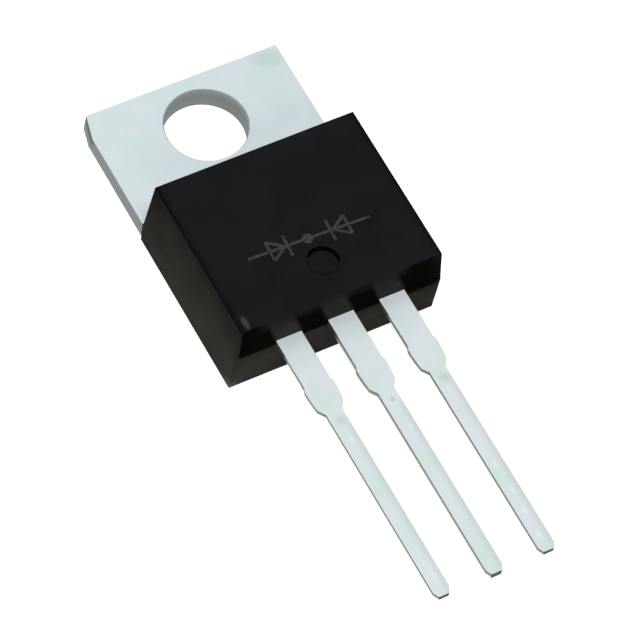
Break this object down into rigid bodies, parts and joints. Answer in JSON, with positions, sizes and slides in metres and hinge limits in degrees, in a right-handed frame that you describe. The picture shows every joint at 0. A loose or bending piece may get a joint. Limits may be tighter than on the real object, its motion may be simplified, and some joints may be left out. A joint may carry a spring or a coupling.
{
  "type": "schottky diode",
  "caption": "Dual Schottky rectifier: black epoxy block over a tinned metal tab with a screw hole, straight flat leads with wide roots at the opposite end.",
  "frame": {"origin": "centre of the whole package in plan, leads and tab included, on the plane of its bare metal back", "axes": "+X across the leads from pin 1 to pin 3, +Y from the lead tips to the tab's end, +Z out of the marked face of the moulding"},
  "size_m": [0.0102, 0.0288, 0.0045],
  "materials": {
    "moulding_epoxy": "satin",
    "matte_tin": "satin",
    "die_silicon": "gloss",
    "soft_solder": "satin",
    "bond_aluminium": "satin"
  },
  "bodies": {
    "root": {"moulded_body": "moulding_epoxy", "heatsink_tab": "matte_tin", "anode_lead_1": "matte_tin", "anode_lead_2": "matte_tin", "schottky_die_1": "die_silicon", "schottky_die_2": "die_silicon", "die_solder_1": "soft_solder", "die_solder_2": "soft_solder", "bond_wire_1a": "bond_aluminium", "bond_wire_1b": "bond_aluminium", "bond_wire_2a": "bond_aluminium", "bond_wire_2b": "bond_aluminium"}
  },
  "joints": []
}
